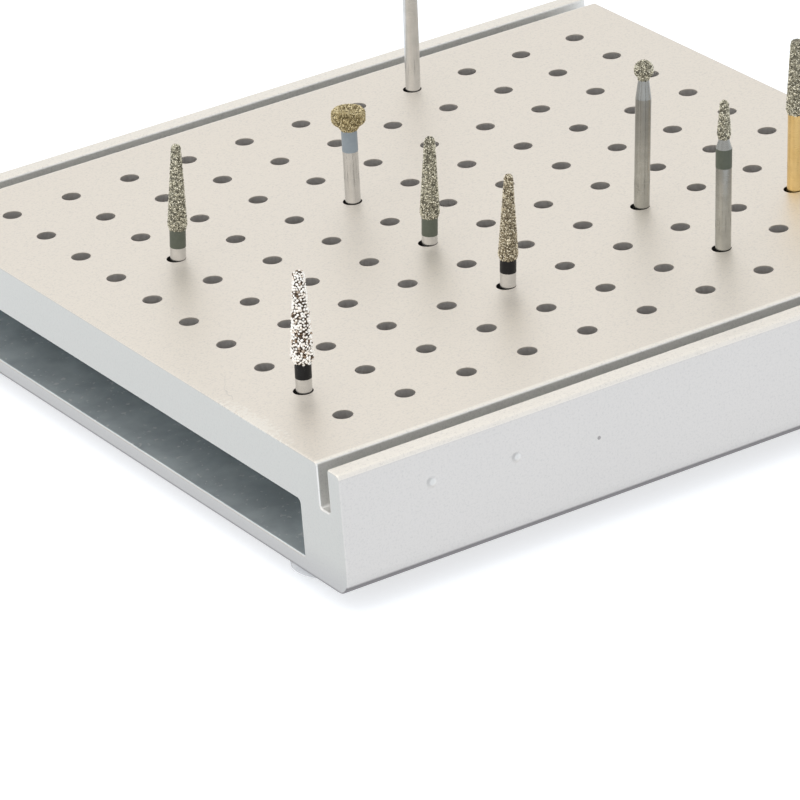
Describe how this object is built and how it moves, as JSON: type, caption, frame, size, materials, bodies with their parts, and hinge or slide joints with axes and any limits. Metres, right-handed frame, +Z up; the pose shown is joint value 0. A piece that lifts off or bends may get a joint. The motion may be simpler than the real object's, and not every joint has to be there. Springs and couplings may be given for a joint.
{
  "type": "dental bur block",
  "caption": "Low square block with a drilled top plate over a through hollow, side grooves, clear feet, and dental burs standing in its holes.",
  "frame": {"origin": "centre of the footprint, on the surface that the feet stand on", "axes": "+X along the extrusion, +Y across it, +Z up along the holes"},
  "size_m": [0.085, 0.085, 0.031],
  "materials": {
    "anodised_aluminium": "fine bead-blasted, clear anodised, satin",
    "clear_foot": "clear glossy soft polyurethane",
    "steel": "ground steel, bright",
    "gold_steel": "gold-coated steel, satin",
    "diamond_silver": "coarse diamond grit in nickel",
    "diamond_grey": "diamond grit in nickel",
    "diamond_brown": "diamond grit in nickel, brownish",
    "wheel_bronze": "grit, brownish gold",
    "ring_black": "black enamel",
    "ring_dark_green": "dark grey-green enamel",
    "ring_blue": "slate blue enamel"
  },
  "bodies": {
    "root": {"block_body": "anodised_aluminium", "foot_near_right": "clear_foot", "foot_near_left": "clear_foot", "foot_far_right": "clear_foot", "foot_far_left": "clear_foot", "near_bur_shank": "steel", "near_bur_head": "diamond_silver", "near_bur_ring": "ring_black", "left_bur_shank": "steel", "left_bur_head": "diamond_grey", "left_bur_ring": "ring_dark_green", "middle_bur_shank": "steel", "middle_bur_head": "diamond_grey", "middle_bur_ring": "ring_dark_green", "front_bur_shank": "steel", "front_bur_head": "diamond_brown", "front_bur_ring": "ring_black", "slender_bur_shank": "steel", "slender_bur_head": "diamond_grey", "slender_bur_ring": "ring_dark_green", "gold_bur_shank": "gold_steel", "gold_bur_head": "diamond_grey", "far_bur_shank": "steel", "far_bur_head": "diamond_grey", "ball_bur_shank": "steel", "ball_bur_head": "diamond_grey", "wheel_bur_shank": "steel", "wheel_bur_head": "wheel_bronze", "wheel_bur_ring": "ring_blue"}
  },
  "joints": []
}
